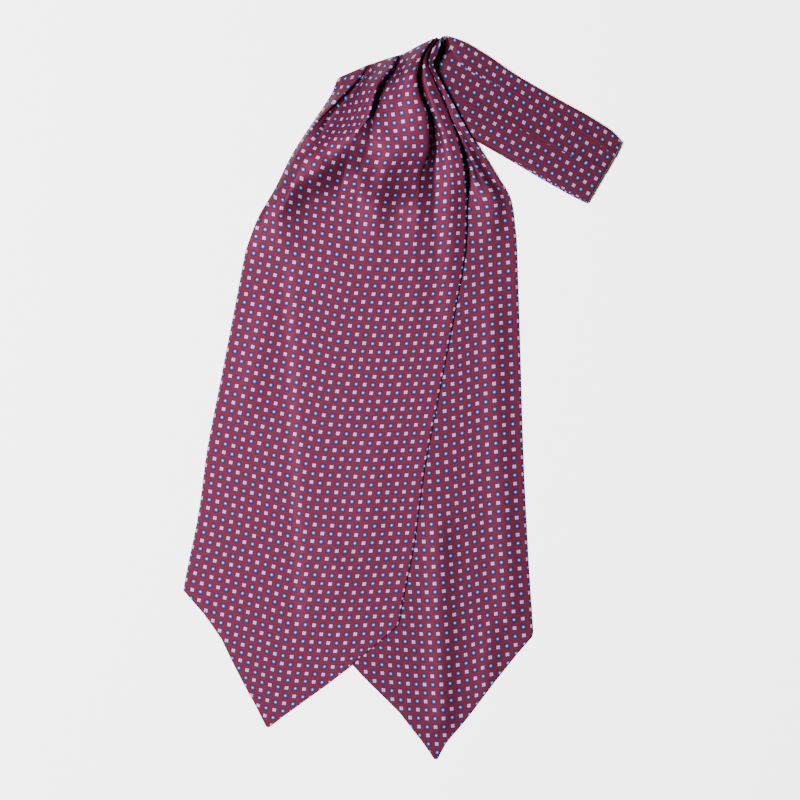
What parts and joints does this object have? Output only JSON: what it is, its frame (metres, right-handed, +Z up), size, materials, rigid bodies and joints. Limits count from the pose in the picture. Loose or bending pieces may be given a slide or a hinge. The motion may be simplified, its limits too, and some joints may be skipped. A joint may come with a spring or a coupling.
{
  "type": "silk cravat",
  "caption": "Silk cravat laid flat: pointed blades gathered in knife pleats over a neck fold, running on into a narrow pleated neckband folded at the centre back.",
  "frame": {"origin": "on the surface that the cravat lies on, under the middle of its outline", "axes": "+Y along the blades from their points to the neck fold, +X across the blades towards the end of the neckband, +Z up from the surface"},
  "size_m": [0.3058, 0.5056, 0.0196],
  "materials": {
    "front_silk": "printed silk twill, wine red with a small neat repeat in pink and blue",
    "rear_silk": "printed silk twill, wine red with a small neat repeat in pink and blue",
    "band_silk": "the same printed silk twill, pressed in lengthwise pleats"
  },
  "bodies": {
    "root": {"front_blade": "front_silk", "rear_blade": "rear_silk", "neckband": "band_silk"}
  },
  "joints": []
}
